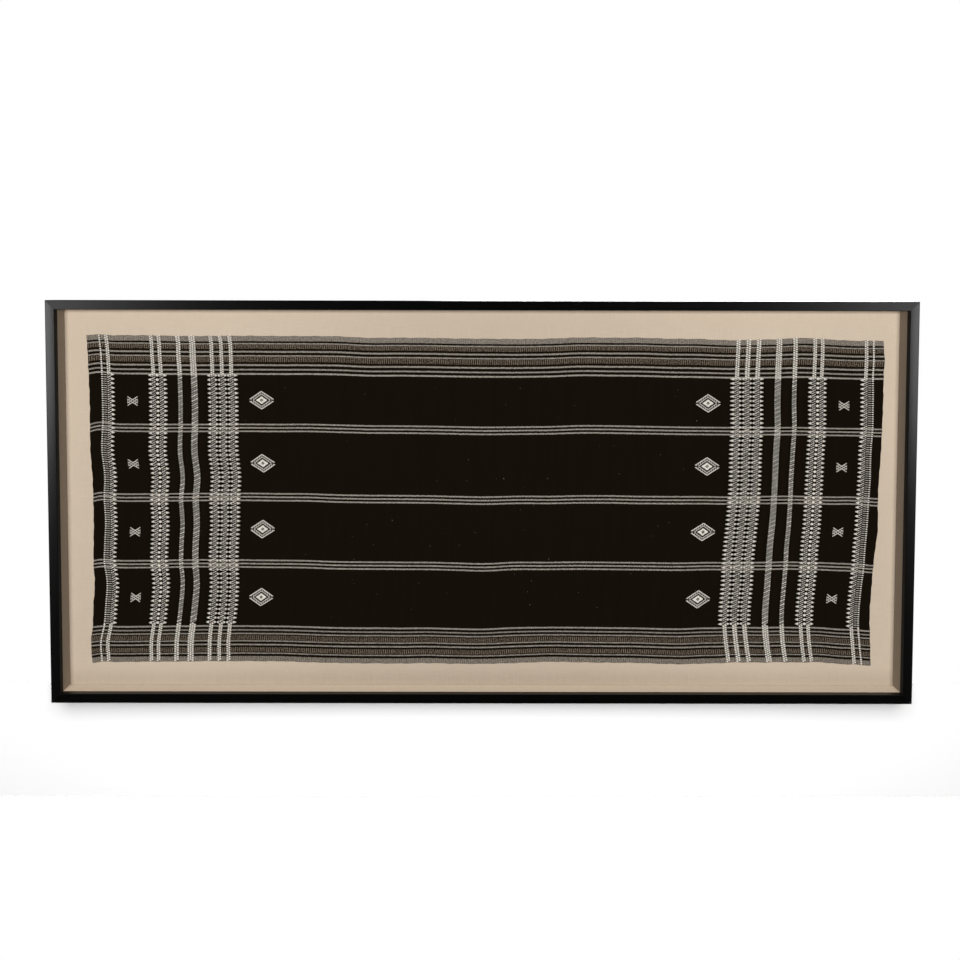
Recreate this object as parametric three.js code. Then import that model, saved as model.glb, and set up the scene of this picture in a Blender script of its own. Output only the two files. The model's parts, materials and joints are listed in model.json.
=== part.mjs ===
// A long handwoven shawl shown flat in a black shadow-box frame.
// Millimetres. X runs along the shawl, the front looks along -Y, Z is up, and the wall is the plane Y = 0.
// The origin is the middle of the top rail's rear face, where the frame meets its hook.

import * as THREE from "three";

// Frame
const frameWidth = 2300;
const frameHeight = 1076;
const frameDepth = 68;
const faceWidth = 25;
const lipDepth = 14;
const rebateWidth = 8;
const outerEase = 2;
const innerEase = 1.2;
const easeSteps = 3;

// Box inside the frame
const clearance = 0.3;
const recessDepth = 50;
const spacerInset = 0.5;
const spacerEase = 1.5;
const linenThickness = 1;
const boardThickness = 6;

// Shawl
const clothThickness = 1.6;
const clothGap = 0.4;
const clothLeft = -1058.5;
const clothRight = 1084.5;
const clothTop = 440;
const clothHem = -451;
const lengthSteps = 66;
const heightSteps = 28;

// How far the two long edges stray from their straight lines, at places along the cloth
const longEdges = [
  { at: -1075, top: 6, hem: -1 },
  { at: -930, top: 4.5, hem: 1.5 },
  { at: -800, top: 2, hem: 1.5 },
  { at: -620, top: 3.5, hem: 3.5 },
  { at: -530, top: 4.5, hem: 4 },
  { at: -400, top: 2.5, hem: -0.5 },
  { at: -300, top: -1.5, hem: -3 },
  { at: -140, top: -1.5, hem: -1 },
  { at: 0, top: -3, hem: -3 },
  { at: 185, top: -1, hem: 4.5 },
  { at: 270, top: 3, hem: 2.5 },
  { at: 420, top: 2.5, hem: 0.5 },
  { at: 560, top: -2.5, hem: -3 },
  { at: 660, top: -6, hem: 1 },
  { at: 780, top: -1.5, hem: 3 },
  { at: 870, top: 2.5, hem: 3 },
  { at: 950, top: -4, hem: 0 },
  { at: 1010, top: -7.5, hem: -4 },
  { at: 1085, top: -6, hem: -6.5 },
];

// How far the two short ends stray, at heights above the frame's middle
const shortEnds = [
  { at: -455, left: -4, right: -21 },
  { at: -410, left: -6, right: -25 },
  { at: -350, left: -0.5, right: -26.5 },
  { at: -300, left: 2, right: -26 },
  { at: -240, left: 6, right: -22 },
  { at: -170, left: 3.5, right: -17 },
  { at: -75, left: 4, right: -9.5 },
  { at: 15, left: 5, right: -8 },
  { at: 80, left: 2.5, right: -4.5 },
  { at: 200, left: 0, right: -0.5 },
  { at: 330, left: -0.5, right: 0.5 },
  { at: 395, left: -3, right: 3 },
  { at: 445, left: -6, right: -1 },
];

// Soft ridges that run down the cloth where the bands of thicker weft pull it:
// the place at the middle height, the lean from there to the top edge, the half width,
// and the lift off the ground at the hem, the middle and the top
const ridges = [
  { at: -1060, lean: -3, reach: 34, hem: 2.8, middle: 1.2, top: 2.4 },
  { at: -975, lean: 6, reach: 60, hem: 0.8, middle: 1.9, top: 1.1 },
  { at: -868, lean: -8, reach: 44, hem: 1.6, middle: 1, top: 2.2 },
  { at: -796, lean: 4, reach: 36, hem: 2.1, middle: 1.5, top: 0.9 },
  { at: -700, lean: -2, reach: 58, hem: 1.2, middle: 0.8, top: 2.6 },
  { at: -566, lean: 14, reach: 84, hem: 1.9, middle: 1.3, top: 1 },
  { at: -405, lean: -20, reach: 96, hem: 0.9, middle: 1.7, top: 2.3 },
  { at: -212, lean: 10, reach: 82, hem: 2.2, middle: 1, top: 1.4 },
  { at: -35, lean: -12, reach: 104, hem: 1, middle: 1.8, top: 1.1 },
  { at: 176, lean: 18, reach: 74, hem: 2.6, middle: 1.1, top: 1.5 },
  { at: 338, lean: -6, reach: 92, hem: 1.2, middle: 1.5, top: 2.5 },
  { at: 523, lean: 16, reach: 80, hem: 0.8, middle: 1.2, top: 1 },
  { at: 654, lean: 12, reach: 46, hem: 2.3, middle: 1.6, top: 0.7 },
  { at: 775, lean: 10, reach: 52, hem: 2.4, middle: 0.9, top: 1.8 },
  { at: 878, lean: 16, reach: 50, hem: 1.7, middle: 1.4, top: 3.1 },
  { at: 985, lean: 20, reach: 58, hem: 1.3, middle: 2, top: 0.9 },
  { at: 1068, lean: 12, reach: 38, hem: 3.2, middle: 2.2, top: 4.6 },
];

// Low swells along the cloth where the border weave is tighter: height, half width and lift
const swells = [
  { at: 434, reach: 30, lift: 1.1 },
  { at: 300, reach: 70, lift: 0.5 },
  { at: 92, reach: 78, lift: 0.7 },
  { at: -96, reach: 74, lift: 0.6 },
  { at: -270, reach: 66, lift: 0.8 },
  { at: -446, reach: 28, lift: 1.3 },
];

const rearWidth = faceWidth - rebateWidth;
const lipBack = -frameDepth + lipDepth;
const linenFront = -frameDepth + recessDepth;
const frameMiddle = rearWidth / 2 - frameHeight / 2;
const innerWidth = frameWidth - 2 * (rearWidth + clearance);
const innerHeight = frameHeight - 2 * (rearWidth + clearance);

function finish(name, color, roughness) {
  return new THREE.MeshStandardMaterial({ name, color, roughness, metalness: 0 });
}

const blackPaint = finish("black_paint", 0x0d0c0b, 0.42);
const linenCloth = finish("linen_cloth", 0xc6b096, 0.95);
const plainBoard = finish("board", 0xb49a74, 0.8);
const darkWool = finish("dark_wool", 0x16110b, 0.92);

function mesh(name, geometry, material) {
  const part = new THREE.Mesh(geometry, material);
  part.name = name;
  return part;
}

// A section drawn as depth against height is extruded along X, centred, with its ends left square
function extrudeAlongX(section, length) {
  const geometry = new THREE.ExtrudeGeometry(section, {
    depth: length,
    bevelEnabled: false,
    curveSegments: easeSteps,
  });
  const depthAxis = new THREE.Vector3(0, 1, 0);
  const heightAxis = new THREE.Vector3(0, 0, 1);
  const lengthAxis = new THREE.Vector3(1, 0, 0);
  geometry.applyMatrix4(new THREE.Matrix4().makeBasis(depthAxis, heightAxis, lengthAxis));
  geometry.translate(-length / 2, 0, 0);
  return geometry;
}

// The rail's outer side lies at height 0 and its inner side below it, with a rebate behind the lip
function railSection() {
  const front = -frameDepth;
  const section = new THREE.Shape();
  section.moveTo(0, 0);
  section.lineTo(0, -rearWidth);
  section.lineTo(lipBack, -rearWidth);
  section.lineTo(lipBack, -faceWidth);
  section.lineTo(front + innerEase, -faceWidth);
  section.quadraticCurveTo(front, -faceWidth, front, -faceWidth + innerEase);
  section.lineTo(front, -outerEase);
  section.quadraticCurveTo(front, 0, front + outerEase, 0);
  return section;
}

// Both ends are cut at 45 degrees, with a hairline joint left between neighbours
function mitredRail(length) {
  const geometry = extrudeAlongX(railSection(), length);
  const corners = geometry.getAttribute("position");
  const hairline = clearance / Math.SQRT2;
  for (let i = 0; i < corners.count; i += 1) {
    const end = Math.sign(corners.getX(i));
    const inward = -corners.getZ(i);
    corners.setX(i, corners.getX(i) - end * (inward + hairline));
  }
  geometry.computeVertexNormals();
  return geometry;
}

function placeOnSide(part, side) {
  const halfWidth = frameWidth / 2;
  const halfHeight = frameHeight / 2;
  const places = {
    top: { x: 0, z: halfHeight, turn: 0 },
    right: { x: halfWidth, z: 0, turn: Math.PI / 2 },
    bottom: { x: 0, z: -halfHeight, turn: Math.PI },
    left: { x: -halfWidth, z: 0, turn: -Math.PI / 2 },
  };
  const place = places[side];
  part.position.set(place.x, 0, place.z);
  part.rotation.y = place.turn;
  return part;
}

function rails() {
  const group = new THREE.Group();
  const lengths = { top: frameWidth, right: frameHeight, bottom: frameWidth, left: frameHeight };
  for (const [side, length] of Object.entries(lengths)) {
    group.add(placeOnSide(mesh(`rail_${side}`, mitredRail(length), blackPaint), side));
  }
  return group;
}

// A linen-covered strip fills the rebate between the lip and the ground cloth
function spacerSection() {
  const outer = -rearWidth - clearance;
  const inner = -faceWidth + spacerInset;
  const front = lipBack + clearance;
  const back = linenFront - clearance;
  const section = new THREE.Shape();
  section.moveTo(back, outer);
  section.lineTo(back, inner);
  section.lineTo(front + spacerEase, inner);
  section.quadraticCurveTo(front, inner, front, inner + spacerEase);
  section.lineTo(front, outer);
  return section;
}

// The strips along the top and bottom run right across, and the side strips stand between them
function spacers() {
  const group = new THREE.Group();
  const sideLength = frameHeight - 2 * (faceWidth - spacerInset + clearance);
  const lengths = { top: innerWidth, right: sideLength, bottom: innerWidth, left: sideLength };
  for (const [side, length] of Object.entries(lengths)) {
    const strip = mesh(`spacer_${side}`, extrudeAlongX(spacerSection(), length), linenCloth);
    group.add(placeOnSide(strip, side));
  }
  return group;
}

function linenGround() {
  const geometry = new THREE.BoxGeometry(innerWidth, linenThickness, innerHeight);
  const sheet = mesh("linen_ground", geometry, linenCloth);
  sheet.position.y = linenFront + linenThickness / 2;
  return sheet;
}

function mountBoard() {
  const geometry = new THREE.BoxGeometry(innerWidth, boardThickness, innerHeight);
  const board = mesh("mount_board", geometry, plainBoard);
  board.position.y = linenFront + linenThickness + clearance + boardThickness / 2;
  return board;
}

// A smooth curve through the rows of a table, read at one place
function along(rows, column, place) {
  const last = rows.length - 1;
  if (place <= rows[0].at) {
    return rows[0][column];
  }
  if (place >= rows[last].at) {
    return rows[last][column];
  }
  const next = rows.findIndex((row) => row.at > place);
  const before = rows[next - 1];
  const after = rows[next];
  const part = (place - before.at) / (after.at - before.at);
  const riseBefore = (after.at - before.at) * slopeAt(rows, column, next - 1);
  const riseAfter = (after.at - before.at) * slopeAt(rows, column, next);
  const square = part ** 2;
  const cube = part ** 3;
  const share = 3 * square - 2 * cube;
  const level = THREE.MathUtils.lerp(before[column], after[column], share);
  return level + (cube - 2 * square + part) * riseBefore + (cube - square) * riseAfter;
}

function slopeAt(rows, column, index) {
  const low = rows[Math.max(0, index - 1)];
  const high = rows[Math.min(rows.length - 1, index + 1)];
  return (high[column] - low[column]) / (high.at - low.at);
}

// Part of the way from one column's curve to another's
function between(rows, from, to, place, share) {
  return THREE.MathUtils.lerp(along(rows, from, place), along(rows, to, place), share);
}

// A rounded hump: 1 at its middle and 0 from its reach outwards
function hump(distance, reach) {
  const share = Math.min(1, Math.abs(distance) / reach);
  return (1 + Math.cos(Math.PI * share)) / 2;
}

// How far the cloth's back stands off the linen
function standOff(x, z) {
  const share = z / clothTop;
  let lift = clothGap;
  for (const ridge of ridges) {
    const edge = share > 0 ? ridge.top : ridge.hem;
    const height = THREE.MathUtils.lerp(ridge.middle, edge, Math.min(1, share ** 2));
    lift += height * hump(x - ridge.at - ridge.lean * share, ridge.reach);
  }
  for (const swell of swells) {
    lift += swell.lift * hump(z - swell.at, swell.reach);
  }
  return lift;
}

// A thin block is divided into a grid and its corners are moved to where the cloth hangs
function shawl() {
  const geometry = new THREE.BoxGeometry(
    clothRight - clothLeft,
    clothThickness,
    clothTop - clothHem,
    lengthSteps,
    1,
    heightSteps,
  );
  geometry.translate((clothLeft + clothRight) / 2, 0, (clothTop + clothHem) / 2);
  const corners = geometry.getAttribute("position");
  for (let i = 0; i < corners.count; i += 1) {
    const flatX = corners.getX(i);
    const flatZ = corners.getZ(i);
    const across = (flatX - clothLeft) / (clothRight - clothLeft);
    const up = (flatZ - clothHem) / (clothTop - clothHem);
    const x = flatX + between(shortEnds, "left", "right", flatZ, across);
    const z = flatZ + between(longEdges, "hem", "top", flatX, up);
    const back = linenFront - standOff(x, z);
    const y = corners.getY(i) > 0 ? back : back - clothThickness;
    corners.setXYZ(i, x, y, z);
  }
  geometry.computeVertexNormals();
  return mesh("shawl", geometry, darkWool);
}

const framedShawl = new THREE.Group();
framedShawl.position.z = frameMiddle;
framedShawl.add(rails(), spacers(), linenGround(), mountBoard(), shawl());

export default framedShawl;
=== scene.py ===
import json
import math
import bpy
import numpy as np
from mathutils import Matrix, Vector

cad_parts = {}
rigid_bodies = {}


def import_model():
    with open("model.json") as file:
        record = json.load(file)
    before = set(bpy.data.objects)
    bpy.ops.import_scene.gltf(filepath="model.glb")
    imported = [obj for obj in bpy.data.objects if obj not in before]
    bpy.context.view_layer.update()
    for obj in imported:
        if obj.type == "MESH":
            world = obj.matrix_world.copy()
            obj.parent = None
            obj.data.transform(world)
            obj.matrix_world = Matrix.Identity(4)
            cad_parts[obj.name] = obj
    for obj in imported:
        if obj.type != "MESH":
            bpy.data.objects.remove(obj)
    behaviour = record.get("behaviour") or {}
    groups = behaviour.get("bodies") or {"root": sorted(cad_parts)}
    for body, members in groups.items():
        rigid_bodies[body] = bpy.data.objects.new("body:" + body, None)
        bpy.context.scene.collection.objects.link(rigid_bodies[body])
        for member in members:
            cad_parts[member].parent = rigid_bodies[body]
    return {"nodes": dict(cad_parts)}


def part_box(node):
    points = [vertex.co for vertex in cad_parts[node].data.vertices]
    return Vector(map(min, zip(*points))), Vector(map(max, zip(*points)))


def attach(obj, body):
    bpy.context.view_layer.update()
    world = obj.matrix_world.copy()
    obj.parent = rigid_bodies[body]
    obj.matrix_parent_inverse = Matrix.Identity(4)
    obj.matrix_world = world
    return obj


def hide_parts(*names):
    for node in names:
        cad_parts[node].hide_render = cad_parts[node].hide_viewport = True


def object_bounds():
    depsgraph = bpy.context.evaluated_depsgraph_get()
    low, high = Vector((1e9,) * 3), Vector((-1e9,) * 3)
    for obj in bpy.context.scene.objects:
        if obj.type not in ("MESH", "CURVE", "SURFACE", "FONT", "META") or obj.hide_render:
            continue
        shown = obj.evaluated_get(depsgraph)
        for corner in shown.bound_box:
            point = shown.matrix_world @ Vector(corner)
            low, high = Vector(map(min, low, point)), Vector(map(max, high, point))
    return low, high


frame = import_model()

cadLow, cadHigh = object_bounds()
dice = np.random.default_rng(11)

# Cloth sizes are in millimetres from the middle of the frame, as seen from the front
mm = 0.001
mmPerMetre = 1000
frameMiddle = (cadLow.z + cadHigh.z) / 2
frontPlane = cadLow.y
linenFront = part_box("linen_ground")[0].y
print("frame loaded")


# The camera stands level with the top rail, as in the photograph
view = {"side": -0.0078, "height": 0.550, "distance": 1.9565, "pitch": -1.824, "yaw": -0.038, "roll": 0.108,
        "focalPixels": 744.9, "axisAcross": 480, "axisDown": 320, "picture": 960}


def makeCamera():
    data = bpy.data.cameras.new("photo_camera")
    data.sensor_fit = "HORIZONTAL"
    data.sensor_width = 36
    data.lens = data.sensor_width * view["focalPixels"] / view["picture"]
    data.shift_x = (view["picture"] / 2 - view["axisAcross"]) / view["picture"]
    data.shift_y = (view["axisDown"] - view["picture"] / 2) / view["picture"]
    data.dof.use_dof = False
    camera = bpy.data.objects.new("photo_camera", data)
    bpy.context.scene.collection.objects.link(camera)
    turn = Matrix.Rotation(math.radians(view["yaw"]), 4, "Z")
    turn = turn @ Matrix.Rotation(math.radians(90 + view["pitch"]), 4, "X")
    turn = turn @ Matrix.Rotation(math.radians(view["roll"]), 4, "Z")
    place = Vector((view["side"], frontPlane - view["distance"], frameMiddle + view["height"]))
    camera.matrix_world = Matrix.Translation(place) @ turn
    bpy.context.scene.camera = camera


makeCamera()
print("camera placed")


# Materials

class Value:
    # One number of a material at each point of a surface; sums of them add Math nodes
    def __init__(self, finish, socket):
        self.finish = finish
        self.socket = socket

    def __add__(self, other):
        return self.finish.maths("ADD", self, other)

    def __sub__(self, other):
        return self.finish.maths("SUBTRACT", self, other)

    def __rsub__(self, other):
        return self.finish.maths("SUBTRACT", other, self)

    def __mul__(self, other):
        return self.finish.maths("MULTIPLY", self, other)

    __radd__ = __add__
    __rmul__ = __mul__


class Finish:
    # A material and the nodes that make it
    def __init__(self, name, roughness, specular, sheen=0.0):
        self.material = bpy.data.materials.new(name)
        self.material.use_nodes = True
        self.tree = self.material.node_tree
        self.shader = self.tree.nodes["Principled BSDF"]
        self.feed(self.shader.inputs["Roughness"], roughness)
        self.feed(self.shader.inputs["Specular IOR Level"], specular)
        self.feed(self.shader.inputs["Sheen Weight"], sheen)

    def feed(self, socket, value):
        if isinstance(value, Value):
            self.tree.links.new(value.socket, socket)
        elif isinstance(value, tuple) and socket.type == "RGBA":
            socket.default_value = (*value, 1)
        else:
            socket.default_value = value

    def node(self, kind, settings=None, sockets=None, stops=None, output=0):
        made = self.tree.nodes.new(kind)
        for name, value in (settings or {}).items():
            setattr(made, name, value)
        for at, colour in stops or ():
            stop = made.color_ramp.elements.new(at)
            stop.color = (*colour, 1)
        if stops:
            made.color_ramp.elements.remove(made.color_ramp.elements[0])
            made.color_ramp.elements.remove(made.color_ramp.elements[-1])
        for name, value in (sockets or {}).items():
            self.feed(made.inputs[name], value)
        return Value(self, made.outputs[output])

    def maths(self, operation, *values):
        return self.node("ShaderNodeMath", {"operation": operation}, dict(enumerate(values)))

    def split(self, vector):
        parts = self.node("ShaderNodeSeparateXYZ", sockets={0: vector}).socket.node
        return [Value(self, output) for output in parts.outputs]

    def join(self, x, y, z):
        return self.node("ShaderNodeCombineXYZ", sockets={0: x, 1: y, 2: z})

    def step(self, value, low, high, start=0.0, end=1.0):
        ends = {"Value": value, "From Min": low, "From Max": high, "To Min": start, "To Max": end}
        return self.node("ShaderNodeMapRange", {"interpolation_type": "SMOOTHSTEP"}, ends)

    def clamped(self, value):
        return self.maths("MINIMUM", self.maths("MAXIMUM", value, 0.0), 1.0)

    def noise(self, x, y, z, detail=2.0):
        sockets = {"Vector": self.join(x, y, z), "Scale": 1.0, "Detail": detail}
        return self.node("ShaderNodeTexNoise", {}, sockets)

    def mix(self, share, first, second):
        return self.node("ShaderNodeMix", {"data_type": "RGBA"}, {0: share, 6: first, 7: second}, output=2)

    def scaled(self, colour, level):
        sockets = {0: colour, "Scale": level}
        return self.node("ShaderNodeVectorMath", {"operation": "SCALE"}, sockets)

    def colour(self, value):
        self.feed(self.shader.inputs["Base Color"], value)

    def roughness(self, value):
        self.feed(self.shader.inputs["Roughness"], value)

    def relief(self, height, depth):
        sockets = {"Height": height, "Distance": depth, "Strength": 1.0}
        self.feed(self.shader.inputs["Normal"], self.node("ShaderNodeBump", {}, sockets))


# Black rails: satin paint over close-grained wood

railPaint = {"colour": (0.0010, 0.0010, 0.0009), "worn": (0.0040, 0.0036, 0.0030), "roughness": 0.27,
             "roughnessSpread": 0.06, "grainRoughness": 0.05, "grainAcross": 900.0, "grainAlong": 22.0,
             "grainDepth": 0.00002, "cloudAcross": 30, "cloudAlong": 9, "dustScale": 700,
             "speckWear": 0.6, "grainWear": 0.35, "shineLong": 0.42, "shineUpright": 0.70,
             "crown": 0.00035, "lipRoughness": 0.60, "lipFrom": 0.0006, "lipTo": 0.0002}
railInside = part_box("rail_right")[0].x
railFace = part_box("rail_right")[1].x - railInside


def railFinish(name, alongX):
    look = Finish(name, railPaint["roughness"], railPaint["shineLong" if alongX else "shineUpright"])
    place = look.split(look.node("ShaderNodeTexCoord", output=3))
    along, across = (place[0], place[2]) if alongX else (place[2], place[0])
    grain = look.noise(along * railPaint["grainAlong"], across * railPaint["grainAcross"],
                       place[1] * railPaint["grainAcross"], detail=4.0)
    cloud = look.noise(along * railPaint["cloudAlong"], across * railPaint["cloudAcross"],
                       place[1] * railPaint["cloudAcross"], detail=3.0)
    dust = look.noise(*[part * railPaint["dustScale"] for part in place])
    speck = look.step(dust, 0.70, 0.78) * look.step(cloud, 0.45, 0.65)
    wear = speck * railPaint["speckWear"] + look.step(grain, 0.55, 0.85) * railPaint["grainWear"]
    look.colour(look.mix(wear, railPaint["colour"], railPaint["worn"]))
    roughness = cloud * railPaint["roughnessSpread"] + grain * railPaint["grainRoughness"]
    height = (grain + cloud * 0.6) * railPaint["grainDepth"]
    if not alongX:
        # The upright faces are slightly crowned, and the sides of their lips are duller
        fromInside = look.maths("ABSOLUTE", place[0]) - railInside
        fromMiddle = (fromInside - railFace / 2) * (2 / railFace)
        height = height - fromMiddle * fromMiddle * railPaint["crown"]
        onLip = look.step(fromInside, railPaint["lipFrom"], railPaint["lipTo"])
        roughness = roughness + onLip * railPaint["lipRoughness"]
    look.roughness(roughness + (railPaint["roughness"] - railPaint["roughnessSpread"] / 2))
    look.relief(height, 1.0)
    return look.material


# Linen on the ground and on the strips: plain weave with slubs, with painted shade on the ground and the
# strips and a painted highlight on each strip's front fold

# The last value of linenYarn is how far back from a strip's front its painted highlight reaches
linenYarn = {"light": (0.664, 0.552, 0.432), "dark": (0.517, 0.417, 0.312), "pitch": 0.62, "wander": 1.6,
             "depth": 0.00012, "roughness": 0.95, "paintedHighlightDeep": 0.004}
# The ground's colour is darkened as painted shade towards its foot and its middle, in metres from the middle
groundPaintedShade = [
    {"by": "height", "from": -0.56, "to": 0.50, "level": 0.93},
    {"by": "height", "from": -0.505, "to": -0.455, "level": 0.80},
    {"by": "side", "from": 0.1, "to": 0.9, "level": 0.88},
]
# Painted light on the strips: tone darkens a strip's colour as painted shade, most on the sideways-facing
# left and right strips, and edge lightens its front fold as a painted highlight
stripPaintedLight = {"top": {"tone": 0.8, "edge": 1.15}, "bottom": {"tone": 1.0, "edge": 1.45},
          "left": {"tone": 0.52, "edge": 1.15}, "right": {"tone": 0.52, "edge": 1.15}}


def linenFinish(name, first, second, strip=None, fold=0.0):
    look = Finish(name, linenYarn["roughness"], 0.08, sheen=0.06)
    place = look.split(look.node("ShaderNodeTexCoord", output=3))
    a = place[first] * mmPerMetre
    b = place[second] * mmPerMetre
    turnsPerMm = math.pi / linenYarn["pitch"]
    wander = look.noise(a * 0.05, b * 0.05, 0.0, detail=1.0) * linenYarn["wander"]
    weave = look.maths("SINE", (a + wander) * turnsPerMm) * look.maths("SINE", (b + wander) * turnsPerMm)
    slubA = look.noise(a * 0.9, b * 0.02, 3.0)
    slubB = look.noise(a * 0.02, b * 0.9, 7.0)
    cloud = look.noise(a * 0.004, b * 0.004, 1.0)
    slubs = slubA + slubB
    share = look.step(weave, -0.9, 0.9) * 0.55 + slubs * 0.75 + cloud * 0.3 - 0.52
    tint = look.mix(look.step(share, -0.1, 1.1), linenYarn["dark"], linenYarn["light"])
    if strip is None:
        # Painted shade: the rows of the table darken the ground's colour towards its foot and its middle
        places = {"height": place[2] - frameMiddle, "side": look.maths("ABSOLUTE", place[0])}
        level = 1.0
        for row in groundPaintedShade:
            level = level * look.step(places[row["by"]], row["from"], row["to"], row["level"], 1.0)
    else:
        # Painted light: a strip's colour is scaled by its tone as painted shade, and lightened as a painted
        # highlight where its linen folds over the front edge
        level = look.step(place[1], fold, fold + linenYarn["paintedHighlightDeep"], strip["edge"], 1.0) * strip["tone"]
    look.colour(look.scaled(tint, level))
    look.relief(weave * 0.5 + slubs * 0.8, linenYarn["depth"])
    return look.material


# Board: pale ply, seen only from behind

plyWood = {"light": (0.50, 0.36, 0.21), "dark": (0.30, 0.20, 0.11), "ringsUp": 26, "ringLines": 46,
           "roughness": 0.58, "roughnessSpread": 0.2, "depth": 0.00008}


def boardFinish():
    look = Finish("board", plyWood["roughness"], 0.3)
    place = look.split(look.node("ShaderNodeTexCoord", output=3))
    rings = look.noise(place[0] * 1.2, place[2] * plyWood["ringsUp"], 0.5, detail=6.0)
    pores = look.noise(place[0] * 60, place[2] * 1500, 4.0, detail=3.0)
    lines = look.maths("SINE", rings * plyWood["ringLines"])
    share = lines * 0.22 + rings * 0.5 + look.step(pores, 0.5, 0.8) * 0.35
    look.colour(look.mix(share, plyWood["light"], plyWood["dark"]))
    look.roughness(rings * plyWood["roughnessSpread"] + plyWood["roughness"])
    look.relief(pores + lines * 0.15, plyWood["depth"])
    return look.material


# Shawl cloth. Each stripe of a border has its heights from the frame's middle, and its shares of white
# and of grey yarn
topStripes = [
    {"low": 333.9, "high": 338.2, "white": 0.62, "grey": 0.0},
    {"low": 345.6, "high": 349.7, "white": 0.52, "grey": 0.0},
    {"low": 357.8, "high": 362.2, "white": 0.56, "grey": 0.0},
    {"low": 368.6, "high": 382.6, "white": 0.0, "grey": 0.85},
    {"low": 383.4, "high": 386.7, "white": 0.55, "grey": 0.0},
    {"low": 393.8, "high": 398.4, "white": 0.52, "grey": 0.0},
    {"low": 404.4, "high": 415.6, "white": 0.0, "grey": 0.95},
    {"low": 416.4, "high": 419.6, "white": 0.55, "grey": 0.1},
    {"low": 424.8, "high": 444.0, "white": 0.34, "grey": 0.62},
]
hemStripes = [
    {"low": 352.0, "high": 356.2, "white": 0.55, "grey": 0.0},
    {"low": 362.8, "high": 366.4, "white": 0.45, "grey": 0.0},
    {"low": 372.6, "high": 376.2, "white": 0.48, "grey": 0.0},
    {"low": 379.4, "high": 391.6, "white": 0.0, "grey": 0.75},
    {"low": 393.0, "high": 396.4, "white": 0.48, "grey": 0.0},
    {"low": 402.8, "high": 406.8, "white": 0.50, "grey": 0.0},
    {"low": 412.2, "high": 424.4, "white": 0.0, "grey": 0.85},
    {"low": 427.0, "high": 430.0, "white": 0.50, "grey": 0.0},
    {"low": 436.4, "high": 456.0, "white": 0.27, "grey": 0.62},
]
fieldLines = {"middles": (189.5, 0.2, -182.0), "pitch": 9.4, "halfWidth": 1.9, "white": 0.58}
wool = {"white": (0.640, 0.575, 0.495), "grey": (0.182, 0.142, 0.104), "dark": (0.0060, 0.0036, 0.0020),
        "olive": (0.0055, 0.0048, 0.0025), "bloom": (0.0108, 0.0073, 0.0043), "warpPitch": 1.05,
        "weftPitch": 1.35, "tickPitch": 5.7, "stripeSoft": 0.35, "lineSoft": 0.4, "wobble": 1.5,
        "depth": 0.00022, "roughness": 0.96}


def stripeStops(stripes, start, span):
    soft = wool["stripeSoft"]
    stops = []
    for stripe in stripes:
        shares = (stripe["white"], stripe["grey"], 0)
        stops.append(((stripe["low"] - soft - start) / span, (0, 0, 0)))
        stops.append(((stripe["low"] + soft - start) / span, shares))
        stops.append(((stripe["high"] - soft - start) / span, shares))
        stops.append(((stripe["high"] + soft - start) / span, (0, 0, 0)))
    return stops


def stripeShares(look, stripes, height):
    # Two ramps carry nine stripes, since one ramp holds no more than 32 stops
    white = 0.0
    grey = 0.0
    for group in (stripes[:5], stripes[5:]):
        start = group[0]["low"] - 1
        span = group[-1]["high"] + 1 - start
        ramp = look.node("ShaderNodeValToRGB", {}, {0: (height - start) * (1 / span)},
                         stripeStops(group, start, span))
        parts = look.split(ramp)
        white = parts[0] + white
        grey = parts[1] + grey
    return white, grey


def clothFinish():
    look = Finish("dark_wool", wool["roughness"], 0.0)
    place = look.split(look.node("ShaderNodeUVMap", {"uv_map": "loom"}))
    x = place[0] * mmPerMetre
    z = place[1] * mmPerMetre
    wobble = look.noise(x * 0.11, z * 0.11, 2.0) * wool["wobble"] - wool["wobble"] / 2
    height = z + wobble
    topWhite, topGrey = stripeShares(look, topStripes, height)
    hemWhite, hemGrey = stripeShares(look, hemStripes, height * -1)
    white = topWhite + hemWhite
    grey = topGrey + hemGrey
    edge, soft = fieldLines["halfWidth"], wool["lineSoft"]
    for middle in fieldLines["middles"]:
        off = look.maths("ABSOLUTE", height - middle)
        line = look.maths("MINIMUM", off, look.maths("ABSOLUTE", off - fieldLines["pitch"]))
        white = white + look.step(line, edge + soft, edge - soft) * fieldLines["white"]
    warpWave = look.maths("SINE", z * (math.pi / wool["warpPitch"]))
    weftWave = look.maths("SINE", (x + wobble * 0.4) * (math.pi / wool["weftPitch"]))
    weave = warpWave * weftWave
    over = look.step(weave, -0.5, 0.6)
    lumps = look.noise(x * 0.32, z * 0.25, 5.0)
    streak = look.noise(x * 0.045, z * 0.003, 9.0, detail=3.0)
    tick = look.maths("SINE", (x + lumps * 2.2) * (2 * math.pi / wool["tickPitch"]))
    tickPower = look.step(look.noise(x * 0.03, z * 0.05, 13.0, detail=1.0), 0.30, 0.62)
    fibre = look.noise(x * 2.6, z * 2.6, 1.0, detail=3.0)
    ground = look.mix(look.step(streak, 0.35, 0.65), wool["dark"], wool["olive"])
    ground = look.mix(over * 0.5 + fibre * 0.3, ground, wool["bloom"])
    mottle = look.step(look.noise(x * 0.24, z * 0.30, 21.0, detail=1.0), 0.42, 0.58)
    greyShare = grey * (tick * tickPower * 0.80 + mottle * 0.62 + lumps * 0.3 - 0.05)
    ground = look.mix(look.clamped(greyShare), ground, wool["grey"])
    whiteShare = white * (over * 0.85 + 0.35) * (lumps * 0.5 + mottle * 0.45 + 0.48)
    look.colour(look.mix(look.clamped(whiteShare), ground, wool["white"]))
    look.relief(weave * 0.5 + white * 0.8 + grey * 0.4 + fibre * 0.25, wool["depth"])
    return look.material


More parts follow.
